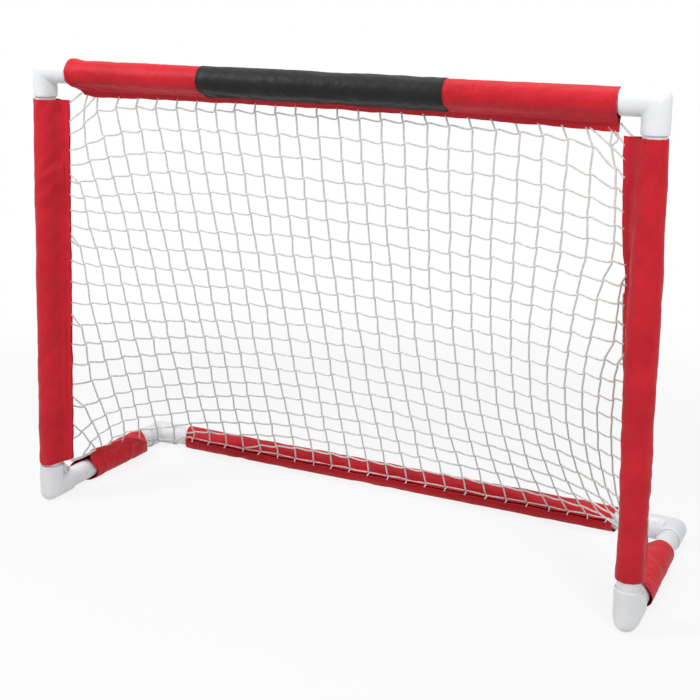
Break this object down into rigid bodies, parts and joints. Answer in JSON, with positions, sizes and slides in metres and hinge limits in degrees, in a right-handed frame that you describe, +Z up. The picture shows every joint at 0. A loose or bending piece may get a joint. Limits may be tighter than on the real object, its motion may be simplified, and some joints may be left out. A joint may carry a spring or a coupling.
{
  "type": "folding hockey goal",
  "caption": "Free-standing street-hockey goal: white plastic tube frame in cloth sleeves with a sloping square-mesh net, whose front frame folds down over the floor frame.",
  "frame": {"origin": "on the floor under the middle of the goal's outline", "axes": "+X to the right as a shooter sees the goal, +Y from the open mouth to the back of the net, +Z up"},
  "size_m": [1.318, 0.466, 0.96],
  "materials": {
    "white_plastic": "satin white plastic pipe and moulded elbows",
    "red_cloth": "shiny woven nylon, creased",
    "black_cloth": "plain black nylon",
    "net_cord": "twisted off-white cord",
    "steel_pin": "plain steel rivet"
  },
  "bodies": {
    "floor_frame": {"rear_bar_tube": "white_plastic", "left_rail_tube": "white_plastic", "right_rail_tube": "white_plastic", "left_rear_elbow": "white_plastic", "right_rear_elbow": "white_plastic", "left_corner_lower_half": "white_plastic", "right_corner_lower_half": "white_plastic", "left_rail_sleeve": "red_cloth", "right_rail_sleeve": "red_cloth", "rear_bar_sleeve": "red_cloth", "net": "net_cord"},
    "front_frame": {"crossbar_tube": "white_plastic", "left_upright_tube": "white_plastic", "right_upright_tube": "white_plastic", "left_top_elbow": "white_plastic", "right_top_elbow": "white_plastic", "left_corner_upper_half": "white_plastic", "right_corner_upper_half": "white_plastic", "left_hinge_pin": "steel_pin", "right_hinge_pin": "steel_pin", "crossbar_sleeve": "red_cloth", "centre_panel": "black_cloth", "left_upright_sleeve": "red_cloth", "right_upright_sleeve": "red_cloth"}
  },
  "joints": [
    {"name": "front_fold", "type": "hinge", "parent": "floor_frame", "child": "front_frame", "pos_m": [0, -0.175, 0.058], "axis": [-1, 0, 0], "range_deg": [0, 90], "deforming": ["net"]}
  ]
}
